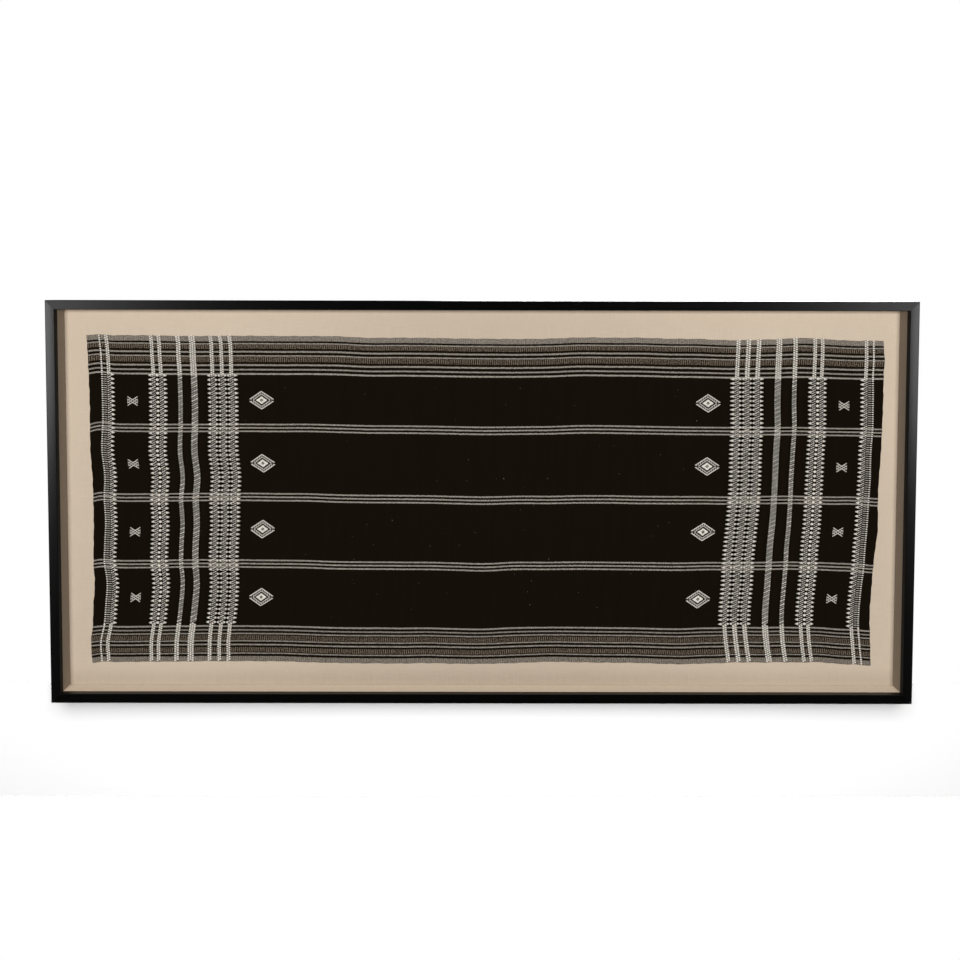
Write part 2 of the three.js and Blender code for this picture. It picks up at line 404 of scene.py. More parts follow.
# White extra weft: soft handspun yarn, each float a little lighter or darker
weftYarn = {"light": (0.820, 0.775, 0.695), "dim": (0.120, 0.106, 0.088), "twist": 2.1, "depth": 0.00015,
            "roughness": 0.9}


def weftFinish():
    look = Finish("white_weft", weftYarn["roughness"], 0.1)
    place = look.split(look.node("ShaderNodeUVMap", {"uv_map": "yarn"}))
    along = place[0] * mmPerMetre
    across = place[1] * mmPerMetre
    shade = look.node("ShaderNodeAttribute", {"attribute_name": "shade"}, output=2)
    fibre = look.noise(along * 1.4, across * 4.0, shade * 9, detail=3.0)
    ply = look.maths("SINE", (along + across * 1.2) * weftYarn["twist"])
    share = look.maths("MINIMUM", shade + (fibre - 0.5) * 0.25 + ply * 0.05, 1.0)
    look.colour(look.mix(share, weftYarn["dim"], weftYarn["light"]))
    look.relief(ply * 0.5 + fibre * 0.7, weftYarn["depth"])
    return look.material


# Where the loom's straight lines lie on the stitched cloth.
# How far each level of the cloth strays upwards, at places along it
levels = {"hem": -451, "lower": -268, "middle": 0, "upper": 262, "top": 440}
strays = [
    {"at": -1062, "hem": -1.5, "lower": 2, "middle": 1, "upper": 1.5, "top": 4},
    {"at": -1043, "hem": 1, "lower": 4, "middle": 5.5, "upper": 8, "top": 6},
    {"at": -984, "hem": 1, "lower": 2.5, "middle": 3, "upper": 4.5, "top": 4.5},
    {"at": -924, "hem": 1.5, "lower": 2, "middle": 2.5, "upper": 3.5, "top": 4.5},
    {"at": -802, "hem": 3, "lower": 4.5, "middle": 4, "upper": 3, "top": 2.5},
    {"at": -629, "hem": 4, "lower": 4, "middle": 5, "upper": 3.5, "top": 3.5},
    {"at": -534, "hem": 4, "lower": 3.5, "middle": 4, "upper": 3.5, "top": 3},
    {"at": -466, "hem": 1, "lower": 2, "middle": 3.5, "upper": 4, "top": 3},
    {"at": -385, "hem": -0.5, "lower": 0, "middle": 1, "upper": 2.5, "top": 2.5},
    {"at": -303, "hem": -2, "lower": -1, "middle": -0.5, "upper": 0, "top": -1.5},
    {"at": -222, "hem": -1.5, "lower": -1, "middle": -0.5, "upper": 0, "top": -1},
    {"at": -140, "hem": -1, "lower": -1.5, "middle": -1.5, "upper": -1, "top": -1.5},
    {"at": -59, "hem": -2.5, "lower": -3, "middle": -3, "upper": -2, "top": -3},
    {"at": 22, "hem": -2.5, "lower": -5, "middle": -4, "upper": -3, "top": -3.5},
    {"at": 104, "hem": -0.5, "lower": -0.5, "middle": -2, "upper": -2.5, "top": -4},
    {"at": 185, "hem": 4, "lower": 0, "middle": -2, "upper": -1, "top": -2.5},
    {"at": 267, "hem": 2, "lower": 0, "middle": -0.5, "upper": 2, "top": 0.5},
    {"at": 348, "hem": 1.5, "lower": 0, "middle": 0, "upper": 1.5, "top": 0},
    {"at": 430, "hem": 0.5, "lower": -1, "middle": -2, "upper": 0, "top": 0},
    {"at": 511, "hem": -2, "lower": -2, "middle": -2, "upper": -1.5, "top": -2.5},
    {"at": 566, "hem": -3, "lower": -2, "middle": -2, "upper": -2.5, "top": -2.5},
    {"at": 661, "hem": 1, "lower": 1, "middle": -2.5, "upper": -3, "top": -6},
    {"at": 783, "hem": 3, "lower": 1, "middle": -1, "upper": -3.5, "top": -3.5},
    {"at": 867, "hem": 3, "lower": 2, "middle": -0.5, "upper": -3.5, "top": 0},
    {"at": 952, "hem": 2.5, "lower": -0.5, "middle": -2.5, "upper": -5.5, "top": -4.5},
    {"at": 1006, "hem": -2, "lower": -3, "middle": -2, "upper": -6, "top": -7},
    {"at": 1074, "hem": -4.5, "lower": -7.5, "middle": -6.5, "upper": -6.5, "top": -6.5},
]
# How far each upright of the cloth drifts to the right, at heights on it. The uprights are the left end,
# the first, third and fifth woven band from either end, and the right end
uprights = {"left": -1058.5, "first": -1028, "third": -821, "fifth": -663, "fifthRight": 755,
            "thirdRight": 838, "firstRight": 1058, "right": 1084.5}
drifts = [
    {"at": 443, "left": -7.5, "first": -7, "third": -7, "fifth": -8.5,
     "fifthRight": 3, "thirdRight": -1.5, "firstRight": -2.5, "right": -5.5},
    {"at": 420, "left": -6, "first": -4.5, "third": -4.5, "fifth": -5,
     "fifthRight": 3, "thirdRight": 0, "firstRight": -1.5, "right": -3.5},
    {"at": 395, "left": -5, "first": -2.5, "third": -4.5, "fifth": -4,
     "fifthRight": 2, "thirdRight": 0, "firstRight": -0.5, "right": -0.5},
    {"at": 345, "left": -3.5, "first": 0, "third": -1.5, "fifth": -3,
     "fifthRight": 0, "thirdRight": -1, "firstRight": -2, "right": -2},
    {"at": 268, "left": -1.5, "first": 1.5, "third": 0.5, "fifth": 0,
     "fifthRight": -0.5, "thirdRight": -2, "firstRight": -1, "right": -2},
    {"at": 200, "left": -2, "first": 1, "third": 0, "fifth": 0,
     "fifthRight": 1, "thirdRight": 0, "firstRight": -1, "right": -3},
    {"at": 126, "left": -1.5, "first": -2, "third": -2.5, "fifth": -0.5,
     "fifthRight": -2, "thirdRight": -4, "firstRight": -5, "right": -5.5},
    {"at": 55, "left": 3, "first": 5, "third": 4.5, "fifth": 6,
     "fifthRight": -2.5, "thirdRight": -7, "firstRight": -5.5, "right": -9.5},
    {"at": -5, "left": 4, "first": 2.5, "third": -1, "fifth": 2.5,
     "fifthRight": -5, "thirdRight": -8.5, "firstRight": -8.5, "right": -10.5},
    {"at": -70, "left": 4.5, "first": 5.5, "third": 2.5, "fifth": 2,
     "fifthRight": -10.5, "thirdRight": -11.5, "firstRight": -11.5, "right": -9.5},
    {"at": -136, "left": 3, "first": 2, "third": -1.5, "fifth": -2,
     "fifthRight": -16.5, "thirdRight": -17, "firstRight": -16, "right": -16.5},
    {"at": -175, "left": 2, "first": 0, "third": -3, "fifth": -3,
     "fifthRight": -19, "thirdRight": -18, "firstRight": -17.5, "right": -20},
    {"at": -235, "left": 5, "first": 7.5, "third": 1.5, "fifth": -2,
     "fifthRight": -21.5, "thirdRight": -22, "firstRight": -24, "right": -24},
    {"at": -300, "left": 0.5, "first": 2.5, "third": -4.5, "fifth": -6,
     "fifthRight": -26.5, "thirdRight": -26.5, "firstRight": -29, "right": -27.5},
    {"at": -350, "left": -2, "first": -2.5, "third": -11, "fifth": -12.5,
     "fifthRight": -26.5, "thirdRight": -26.5, "firstRight": -29, "right": -26.5},
    {"at": -395, "left": -7, "first": -12, "third": -17, "fifth": -17,
     "fifthRight": -21.5, "thirdRight": -23, "firstRight": -25, "right": -24.5},
    {"at": -448, "left": -3.5, "first": -9.5, "third": -18, "fifth": -17,
     "fifthRight": -13.5, "thirdRight": -15, "firstRight": -20, "right": -23.5},
]
drifts.reverse()

# Soft ridges down the cloth, as on the solid: the place at the middle height, the lean to the top,
# the half width, and the lift at the hem, the middle and the top
ridges = [
    {"at": -1060, "lean": -3, "reach": 34, "hem": 2.8, "middle": 1.2, "top": 2.4},
    {"at": -975, "lean": 6, "reach": 60, "hem": 0.8, "middle": 1.9, "top": 1.1},
    {"at": -868, "lean": -8, "reach": 44, "hem": 1.6, "middle": 1, "top": 2.2},
    {"at": -796, "lean": 4, "reach": 36, "hem": 2.1, "middle": 1.5, "top": 0.9},
    {"at": -700, "lean": -2, "reach": 58, "hem": 1.2, "middle": 0.8, "top": 2.6},
    {"at": -566, "lean": 14, "reach": 84, "hem": 1.9, "middle": 1.3, "top": 1},
    {"at": -405, "lean": -20, "reach": 96, "hem": 0.9, "middle": 1.7, "top": 2.3},
    {"at": -212, "lean": 10, "reach": 82, "hem": 2.2, "middle": 1, "top": 1.4},
    {"at": -35, "lean": -12, "reach": 104, "hem": 1, "middle": 1.8, "top": 1.1},
    {"at": 176, "lean": 18, "reach": 74, "hem": 2.6, "middle": 1.1, "top": 1.5},
    {"at": 338, "lean": -6, "reach": 92, "hem": 1.2, "middle": 1.5, "top": 2.5},
    {"at": 523, "lean": 16, "reach": 80, "hem": 0.8, "middle": 1.2, "top": 1},
    {"at": 654, "lean": 12, "reach": 46, "hem": 2.3, "middle": 1.6, "top": 0.7},
    {"at": 775, "lean": 10, "reach": 52, "hem": 2.4, "middle": 0.9, "top": 1.8},
    {"at": 878, "lean": 16, "reach": 50, "hem": 1.7, "middle": 1.4, "top": 3.1},
    {"at": 985, "lean": 20, "reach": 58, "hem": 1.3, "middle": 2, "top": 0.9},
    {"at": 1068, "lean": 12, "reach": 38, "hem": 3.2, "middle": 2.2, "top": 4.6},
]
swells = [
    {"at": 434, "reach": 30, "lift": 1.1},
    {"at": 300, "reach": 70, "lift": 0.5},
    {"at": 92, "reach": 78, "lift": 0.7},
    {"at": -96, "reach": 74, "lift": 0.6},
    {"at": -270, "reach": 66, "lift": 0.8},
    {"at": -446, "reach": 28, "lift": 1.3},
]
cloth = {"left": -1058.5, "right": 1084.5, "hem": -451, "top": 439, "gap": 0.4, "thickness": 1.6,
         "columns": 318, "rows": 136, "edgeTurn": 2.4, "edgeStep": 0.7, "edgeBand": 12, "edgeWave": 0.5,
         "wavyPastX": 1040, "wavyPastZ": 425, "pucker": 0.22}


def along(rows, column, places):
    # A smooth curve through one column of a table
    at = np.array([row["at"] for row in rows], float)
    value = np.array([row[column] for row in rows], float)
    slope = np.gradient(value, at)
    places = np.clip(places, at[0], at[-1])
    low = np.clip(np.searchsorted(at, places, side="right") - 1, 0, len(at) - 2)
    span = at[low + 1] - at[low]
    part = (places - at[low]) / span
    share = part * part * (3 - 2 * part)
    curve = value[low] + (value[low + 1] - value[low]) * share
    curve += (part ** 3 - 2 * part ** 2 + part) * span * slope[low]
    return curve + (part ** 3 - part ** 2) * span * slope[low + 1]


def acrossColumns(homes, values, places):
    # Straight lines between the columns of a table, each column at its home
    at = np.array(list(homes.values()), float)
    low = np.clip(np.searchsorted(at, places, side="right") - 1, 0, len(at) - 2)
    part = np.clip((places - at[low]) / (at[low + 1] - at[low]), 0, 1)
    values = np.stack(values)
    spot = np.arange(len(places))
    return values[low, spot] * (1 - part) + values[low + 1, spot] * part


def hump(distance, reach):
    return (1 + np.cos(math.pi * np.minimum(1, np.abs(distance) / reach))) / 2


def standOff(x, z):
    # How far the cloth's back stands off the linen, at places on the hung cloth
    share = z / cloth["top"]
    lift = np.full(len(x), cloth["gap"])
    for ridge in ridges:
        edge = np.where(share > 0, ridge["top"], ridge["hem"])
        height = ridge["middle"] + (edge - ridge["middle"]) * np.minimum(1, share ** 2)
        lift += height * hump(x - ridge["at"] - ridge["lean"] * share, ridge["reach"])
    for swell in swells:
        lift += swell["lift"] * hump(z - swell["at"], swell["reach"])
    return lift


def pucker(x, z):
    # Small even dents that the tighter bands pull into the plain cloth
    wave = np.sin(x / 13.0 + 1.7 * np.sin(z / 41.0)) * np.sin(z / 19.0 + 1.3 * np.sin(x / 57.0))
    return cloth["pucker"] * (1 + wave)


def hang(x, z, rise):
    # Points of the loom, at a rise in front of the cloth's back, as places in the frame in metres
    x = np.asarray(x, float)
    z = np.asarray(z, float)
    stray = acrossColumns(levels, [along(strays, name, x) for name in levels], z)
    drift = acrossColumns(uprights, [along(drifts, name, z) for name in uprights], x)
    hungX = x + drift
    hungZ = z + stray
    lift = standOff(hungX, hungZ) + pucker(x, z) + rise
    return np.stack([hungX * mm, linenFront - lift * mm, frameMiddle + hungZ * mm], 1)


def meshPiece(name, points, faces, finish):
    mesh = bpy.data.meshes.new(name)
    mesh.from_pydata([tuple(p) for p in points], [], [tuple(f) for f in faces])
    mesh.materials.append(finish)
    mesh.polygons.foreach_set("use_smooth", [True] * len(mesh.polygons))
    mesh.update()
    piece = bpy.data.objects.new(name, mesh)
    bpy.context.scene.collection.objects.link(piece)
    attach(piece, "root")
    return piece


def setMap(mesh, name, spots):
    # A map with one spot for each vertex, in metres
    layer = mesh.uv_layers.new(name=name)
    corners = np.empty(len(mesh.loops), int)
    mesh.loops.foreach_get("vertex_index", corners)
    layer.uv.foreach_set("vector", np.asarray(spots, np.float32)[corners].ravel())


def slab(xs, zs):
    # Faces of a closed sheet: a front grid, a back grid behind it, and the rim between them
    wide, high = len(xs), len(zs)
    index = np.arange(wide * high).reshape(high, wide)
    back = index + wide * high
    faces = []
    for grid, flip in ((index, False), (back, True)):
        quads = np.stack([grid[:-1, :-1], grid[:-1, 1:], grid[1:, 1:], grid[1:, :-1]], 2).reshape(-1, 4)
        faces.extend((quads[:, ::-1] if flip else quads).tolist())
    rim = np.concatenate([index[0, :], index[1:, -1], index[-1, -2::-1], index[-2:0:-1, 0]])
    behind = rim + wide * high
    faces.extend(np.stack([rim, behind, np.roll(behind, -1), np.roll(rim, -1)], 1).tolist())
    return faces


def spaced(low, high, count):
    # Even steps with two close ones at either end, so that the edge can turn over softly
    turn, step = cloth["edgeTurn"], cloth["edgeStep"]
    inner = np.linspace(low + turn, high - turn, count - 4)
    return np.concatenate([[low, low + step], inner, [high - step, high]])


def makeShawl(finish):
    xs = spaced(cloth["left"], cloth["right"], cloth["columns"])
    zs = spaced(cloth["hem"], cloth["top"], cloth["rows"])
    x, z = (grid.ravel() for grid in np.meshgrid(xs, zs))
    fromEdge = np.minimum.reduce([x - cloth["left"], cloth["right"] - x, z - cloth["hem"], cloth["top"] - z])
    turned = np.clip(fromEdge / cloth["edgeTurn"], 0, 1)
    rounded = np.sqrt(turned * (2 - turned))
    wave = np.sin(x / 9.1) + np.sin(x / 4.7 + 1) * 0.6 + np.sin(z / 7.3) + np.sin(z / 3.9 + 2) * 0.6
    nearEdge = np.clip(1 - fromEdge / cloth["edgeBand"], 0, 1) * cloth["edgeWave"] * wave
    wavyX = x + nearEdge * np.where(np.abs(x) > cloth["wavyPastX"], 1, 0)
    wavyZ = z + nearEdge * np.where(np.abs(z) > cloth["wavyPastZ"], 1, 0)
    front = hang(wavyX, wavyZ, cloth["thickness"] * (0.5 + 0.5 * rounded))
    back = hang(wavyX, wavyZ, cloth["thickness"] * (0.5 - 0.5 * rounded))
    piece = meshPiece("shawl_cloth", np.concatenate([front, back]), slab(xs, zs), finish)
    flat = np.stack([x * mm, z * mm], 1)
    setMap(piece.data, "loom", np.concatenate([flat, flat]))
    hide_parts("shawl")
    return piece


# A float of yarn: two points and two rings between them, with its ends sunk into the cloth
yarnFloat = {"sides": 6, "ringAt": 0.68, "endRise": -0.25, "middleRise": 0.38, "halfHeight": 0.62}


def floatShape():
    sides, far = yarnFloat["sides"], yarnFloat["ringAt"]
    points = [(-1.0, 0.0, yarnFloat["endRise"])]
    for place in (-far, far):
        for turn in range(sides):
            angle = math.radians(360 / sides * turn)
            rise = yarnFloat["middleRise"] + yarnFloat["halfHeight"] * math.sin(angle)
            points.append((place, math.cos(angle), rise))
    points.append((1.0, 0.0, yarnFloat["endRise"]))
    faces = []
    for turn in range(sides):
        first, after = 1 + turn, 1 + (turn + 1) % sides
        faces.append((0, after, first))
        faces.append((first, after, after + sides, first + sides))
        faces.append((len(points) - 1, first + sides, after + sides))
    return np.array(points), faces


floatPoints, floatFaces = floatShape()
# How much one float differs from the next by hand
unevenness = {"tilt": 5, "length": 0.06, "width": 0.08, "shade": 0.10, "lightest": 1.1}


def layFloats(name, floats, finish):
    # Each float: x, z, length, width, rise, tilt in degrees, shade
    rows = np.array(floats, float)
    x, z, length, width, rise, tilt, shade = (column[:, None] for column in rows.T)
    count, size = len(rows), len(floatPoints)
    jitter = dice.uniform(-1, 1, (count, 4))
    tilt = np.radians(tilt + jitter[:, 0:1] * unevenness["tilt"])
    a = floatPoints[:, 0][None] * length / 2 * (1 + unevenness["length"] * jitter[:, 1:2])
    b = floatPoints[:, 1][None] * width / 2 * (1 + unevenness["width"] * jitter[:, 2:3])
    lift = floatPoints[:, 2][None] * rise
    loomX = (x + a * np.cos(tilt) - b * np.sin(tilt)).ravel()
    loomZ = (z + a * np.sin(tilt) + b * np.cos(tilt)).ravel()
    points = hang(loomX, loomZ, lift.ravel() + cloth["thickness"])
    faces = [tuple(start + corner for corner in face)
             for start in range(0, count * size, size) for face in floatFaces]
    piece = meshPiece(name, points, faces, finish)
    # Each float takes its yarn from another place on the map
    spots = np.stack([(a + x * 7).ravel(), (b + z * 3).ravel()], 1)
    setMap(piece.data, "yarn", spots * mm)
    tone = piece.data.attributes.new("shade", "FLOAT", "POINT")
    tones = np.clip(shade + jitter[:, 3:4] * unevenness["shade"], 0, unevenness["lightest"])
    tones = tones + np.zeros((1, size))
    tone.data.foreach_set("value", tones.ravel().astype(np.float32))
    return piece


# Woven bands. The parts are listed from a band's left edge at the left end, and the right end mirrors them
weft = {"rowPitch": 6.03, "toothPitch": 12.06, "fileWidth": 5.4, "upright": 90,
        "fieldTop": 331.0, "fieldHem": -349.0, "borderTop": 439.0, "borderHem": -449.5, "pastField": 4}
# Hatch lines are thin and thick by turns, more so in a band that has nothing else
hatchYarn = {"lines": (1.6, 2.5), "linesAlone": (1.5, 3.3), "slant": 29, "reach": 1.15, "rise": 0.8,
             "thinnest": 0.75, "thickest": 1.25, "darkest": 0.72, "lightest": 1.05}
barYarn = {"tall": 4.7, "share": 0.94, "rise": 0.9, "slant": 74, "shade": 0.98}
toothYarn = {"share": 0.42, "rise": 1.0}
studYarn = {"share": 0.40, "rise": 1.2, "shade": 1.0}
crossYarns = {"beads": {"reach": 1.1, "thick": 3.0, "rise": 0.9, "shade": 1.0},
              "rungs": {"reach": 1.1, "thick": 2.3, "rise": 0.5, "shade": 0.42}}
# The upright floats of an arrow head from its foot to its tip, and of a stud from side to side
toothLines = [
    {"across": 0.16, "tall": 8.0, "shade": 0.80},
    {"across": 0.46, "tall": 5.8, "shade": 0.90},
    {"across": 0.76, "tall": 3.3, "shade": 0.76},
]
studLines = [
    {"across": 0.2, "tall": 6.0},
    {"across": 0.5, "tall": 8.4},
    {"across": 0.8, "tall": 6.0},
]
bands = [
    {"name": "first", "edge": -1028.7, "right": 1058.4, "parts": [
        {"kind": "beads", "at": 0, "width": 5.0, "bar": 1},
        {"kind": "rungs", "at": 5.6, "width": 10.0},
        {"kind": "hatch", "at": 16.4, "width": 10.2, "bar": 2},
        {"kind": "teeth", "at": 27.2, "width": 9.6, "points": 1}]},
    {"name": "second", "edge": -900.9, "right": 931.9, "parts": [
        {"kind": "teeth", "at": 0, "width": 8.6, "points": -1},
        {"kind": "hatch", "at": 9.6, "width": 10.4, "bar": 2},
        {"kind": "studs", "at": 21.0, "width": 8.2},
        {"kind": "hatch", "at": 30.4, "width": 10.4, "bar": 2},
        {"kind": "teeth", "at": 42.2, "width": 9.0, "points": 1}]},
    {"name": "third", "edge": -821.2, "right": 850.7, "parts": [
        {"kind": "hatch", "at": 0, "width": 12.5, "bar": 2}]},
    {"name": "fourth", "edge": -784.8, "right": 807.0, "parts": [
        {"kind": "hatch", "at": 0, "width": 17.0, "bar": 3}]},
    {"name": "fifth", "edge": -740.6, "right": 759.8, "parts": [
        {"kind": "teeth", "at": 0, "width": 8.2, "points": -1},
        {"kind": "hatch", "at": 9.8, "width": 10.8, "bar": 2},
        {"kind": "teeth", "at": 21.6, "width": 6.2, "points": 1},
        {"kind": "teeth", "at": 28.8, "width": 6.4, "points": -1},
        {"kind": "hatch", "at": 36.6, "width": 10.2, "bar": 2},
        {"kind": "teeth", "at": 47.8, "width": 5.6, "points": 1},
        {"kind": "teeth", "at": 54.4, "width": 6.0, "points": -1},
        {"kind": "hatch", "at": 61.4, "width": 10.6, "bar": 2},
        {"kind": "teeth", "at": 73.4, "width": 9.6, "points": 1}]},
]
# The fifth band at the right end is woven wider, listed from its right edge
fifthRightParts = [
    {"kind": "teeth", "at": 0, "width": 9.4, "points": -1},
    {"kind": "hatch", "at": 10.8, "width": 12.4, "bar": 2},
    {"kind": "teeth", "at": 24.2, "width": 6.0, "points": 1},
    {"kind": "teeth", "at": 31.0, "width": 6.0, "points": -1},
    {"kind": "hatch", "at": 38.2, "width": 13.0, "bar": 2},
    {"kind": "teeth", "at": 52.2, "width": 6.2, "points": 1},
    {"kind": "teeth", "at": 59.2, "width": 6.6, "points": -1},
    {"kind": "hatch", "at": 66.6, "width": 11.6, "bar": 2},
    {"kind": "teeth", "at": 79.4, "width": 11.2, "points": 1}]


def steps(low, high, pitch):
    return np.arange(low + pitch / 2, high, pitch)


def hatchFloats(x, width, low, high, lines):
    # Slanted floats in files, each file half a row above the one to its left
    files = max(2, round(width / weft["fileWidth"]))
    pitch = width / files
    made = []
    for row, z in enumerate(steps(low, high, weft["rowPitch"])):
        thick = lines[row % 2]
        for file in range(files):
            place = (x + (file + 0.5) * pitch, z + file * weft["rowPitch"] / 2)
            yarn = thick * dice.uniform(hatchYarn["thinnest"], hatchYarn["thickest"])
            shade = dice.uniform(hatchYarn["darkest"], hatchYarn["lightest"])
            made.append((*place, pitch * hatchYarn["reach"], yarn, hatchYarn["rise"],
                         hatchYarn["slant"], shade))
    return made


def barFloats(x, width, files, low, high):
    # The narrow, closely woven part of a band where it crosses a border
    pitch = width / files
    made = []
    for z in steps(low, high, weft["rowPitch"]):
        for file in range(files):
            place = (x + (file + 0.5) * pitch, z + (file % 2) * weft["rowPitch"] / 2)
            made.append((*place, barYarn["tall"], pitch * barYarn["share"], barYarn["rise"],
                         barYarn["slant"], barYarn["shade"]))
    return made


def toothFloats(x, width, points, low, high):
    # Arrow heads, which point to the right where points is 1 and to the left where it is -1
    made = []
    for z in steps(low, high, weft["toothPitch"]):
        for line in toothLines:
            share = line["across"] if points > 0 else 1 - line["across"]
            made.append((x + share * width, z, line["tall"], width * toothYarn["share"],
                         toothYarn["rise"], weft["upright"], line["shade"]))
    return made


def studFloats(x, width, low, high):
    return [(x + line["across"] * width, z, line["tall"], width * studYarn["share"],
             studYarn["rise"], weft["upright"], studYarn["shade"])
            for z in steps(low, high, weft["toothPitch"]) for line in studLines]


def crossFloats(x, width, low, high, yarn):
    # Beads and rungs: one level float in each row
    return [(x + width / 2, z, width * yarn["reach"], yarn["thick"], yarn["rise"], 0, yarn["shade"])
            for z in steps(low, high, weft["rowPitch"])]


def bandFloats(band, onRight):
    low, high = weft["fieldHem"], weft["fieldTop"]
    past = high + weft["pastField"]
    made = []
    parts = fifthRightParts if onRight and band["name"] == "fifth" else band["parts"]
    lines = hatchYarn["linesAlone" if len(parts) == 1 else "lines"]
    for part in parts:
        width = part["width"]
        x = band["right"] - part["at"] - width if onRight else band["edge"] + part["at"]
        if part["kind"] == "hatch":
            made += hatchFloats(x, width, low, high, lines)
        elif part["kind"] == "teeth":
            points = -part["points"] if onRight else part["points"]
            made += toothFloats(x, width, points, low, past)
        elif part["kind"] == "studs":
            made += studFloats(x, width, low, past)
        else:
            made += crossFloats(x, width, low, high, crossYarns[part["kind"]])
        if "bar" in part:
            made += barFloats(x, width, part["bar"], high, weft["borderTop"])
            made += barFloats(x, width, part["bar"], weft["borderHem"], low)
    return made


# Motifs: lozenges between the bands and the field, bow ties between the first two bands
lozenge = {"halfWidth": 32.2, "halfHeight": 24.0, "tipGap": 2.6, "ring": 0.70, "heartWide": 15.0,
           "heartHigh": 11.0, "eye": 4.7, "places": [
               (-595.6, 265), (-595.6, 93), (-595.6, -87), (-595.6, -273),
               (610.7, 265), (610.7, 93), (610.7, -87), (610.7, -273)]}
bowTie = {"halfWidth": 13.2, "waist": 3.4, "climb": 0.65, "pitch": 6.9, "past": 0.8, "places": [
    (-944.8, 262), (-944.8, 92), (-944.8, -93), (-944.8, -273),
    (978.5, 262), (978.5, 92), (978.5, -86), (978.5, -270)]}
motifYarns = {
    "edge": {"pitch": 3.2, "thick": 2.4, "rise": 0.9, "shade": 0.92},
    "ring": {"pitch": 2.8, "thick": 2.0, "rise": 0.7, "shade": 0.66},
    "tie": {"pitch": 5.0, "thick": 1.8, "rise": 0.5, "shade": 0.55},
    "heart": {"pitch": 2.4, "thick": 2.7, "rise": 0.9, "shade": 1.0},
    "eye": {"thick": 2.8, "rise": 0.8, "shade": 0.7},
    "wingEdge": {"pitch": 3.0, "thick": 2.0, "rise": 0.8, "shade": 0.92},
    "wingLine": {"pitch": 2.9, "thick": 1.5, "rise": 0.7, "shade": 0.85},
}


def uprightFloat(x, z, tall, yarn):
    return x, z, tall, yarn["thick"], yarn["rise"], weft["upright"], yarn["shade"]


def lineFloats(start, end, yarn):
    # A straight row of floats, each reaching a little past the next
    start, end = np.array(start, float), np.array(end, float)
    length = np.linalg.norm(end - start)
    tilt = math.degrees(math.atan2(end[1] - start[1], end[0] - start[0]))
    count = max(1, round(length / yarn["pitch"]))
    return [(*(start + (end - start) * (i + 0.5) / count), length / count * 1.35,
             yarn["thick"], yarn["rise"], tilt, yarn["shade"]) for i in range(count)]


def lozengeFloats(x, z):
    # Two chevrons, a ring inside them joined by ties, and a solid heart with an eye
    wide, high, gap, ring = (lozenge[name] for name in ("halfWidth", "halfHeight", "tipGap", "ring"))
    tie, heart = motifYarns["tie"], motifYarns["heart"]
    made = []
    for up in (1, -1):
        for side in (1, -1):
            made += lineFloats((x, z + up * high), (x + side * wide, z + up * gap), motifYarns["edge"])
            made += lineFloats((x, z + up * high * ring), (x + side * wide * ring, z + up * 0.6),
                               motifYarns["ring"])
            for across in np.arange(tie["pitch"] / 2, wide * 0.86, tie["pitch"]):
                outer = high - (high - gap) * across / wide
                inner = max(0.5, high * (ring - across / wide))
                made.append(uprightFloat(x + side * across, z + up * (outer + inner) / 2, outer - inner, tie))
    heartWide = lozenge["heartWide"]
    for across in np.arange(-heartWide + heart["pitch"] / 2, heartWide, heart["pitch"]):
        reach = lozenge["heartHigh"] * (1 - abs(across) / heartWide)
        eye = lozenge["eye"] - abs(across)
        if eye <= 0:
            made.append(uprightFloat(x + across, z, reach * 2 + 1.6, heart))
            continue
        for up in (1, -1):
            made.append(uprightFloat(x + across, z + up * (eye + reach) / 2, reach - eye + 1.2, heart))
    made.append(uprightFloat(x, z, 3.0, motifYarns["eye"]))
    return made


def bowTieFloats(x, z):
    # A lattice of lines that run along the upper and the lower edge of each wing
    wide, waist, climb = bowTie["halfWidth"], bowTie["waist"], bowTie["climb"]
    past = wide + bowTie["past"]
    made = []
    for side in (1, -1):
        for up in (1, -1):
            made += lineFloats((x, z + up * waist), (x + side * wide, z + up * (waist + climb * wide)),
                               motifYarns["wingEdge"])
            for step in (1, 2):
                drop = waist - step * bowTie["pitch"]
                nearest = max(0.0, -(waist + drop) / (2 * climb))
                if nearest < wide - 1.5:
                    start = (x + side * nearest, z + up * (drop + climb * nearest))
                    end = (x + side * past, z + up * (drop + climb * past))
                    made += lineFloats(start, end, motifYarns["wingLine"])
    return made


# Stray nubs of light fibre in the dark ground
nubs = {"count": 70, "left": -640, "right": 660, "hem": -335, "top": 320, "shortest": 1.0, "longest": 2.2,
        "thick": 0.9, "rise": 0.35, "lightest": 0.35}


def nubFloats():
    return [(dice.uniform(nubs["left"], nubs["right"]), dice.uniform(nubs["hem"], nubs["top"]),
             dice.uniform(nubs["shortest"], nubs["longest"]), nubs["thick"], nubs["rise"],
             dice.uniform(0, 180), dice.uniform(0.0, nubs["lightest"])) for _ in range(nubs["count"])]


railLooks = {True: railFinish("black_paint_long", True), False: railFinish("black_paint_upright", False)}
for side, alongX in (("top", True), ("bottom", True), ("left", False), ("right", False)):
    rail = frame["nodes"]["rail_" + side]
    strip = frame["nodes"]["spacer_" + side]
    rail.material_slots[0].material = railLooks[alongX]
    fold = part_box("spacer_" + side)[0].y
    # Each strip's finish carries painted shade and a painted highlight at its front fold
    stripLook = linenFinish("linen_strip_" + side, 0 if alongX else 2, 1, stripPaintedLight[side], fold)
    strip.material_slots[0].material = stripLook
frame["nodes"]["mount_board"].material_slots[0].material = boardFinish()
print("rails, strips and board finished")

# Ground linen, stretched over the board
ground = {"columns": 190, "rows": 88, "swell": 0.05, "swellsAlong": 31, "swellsUp": 23}


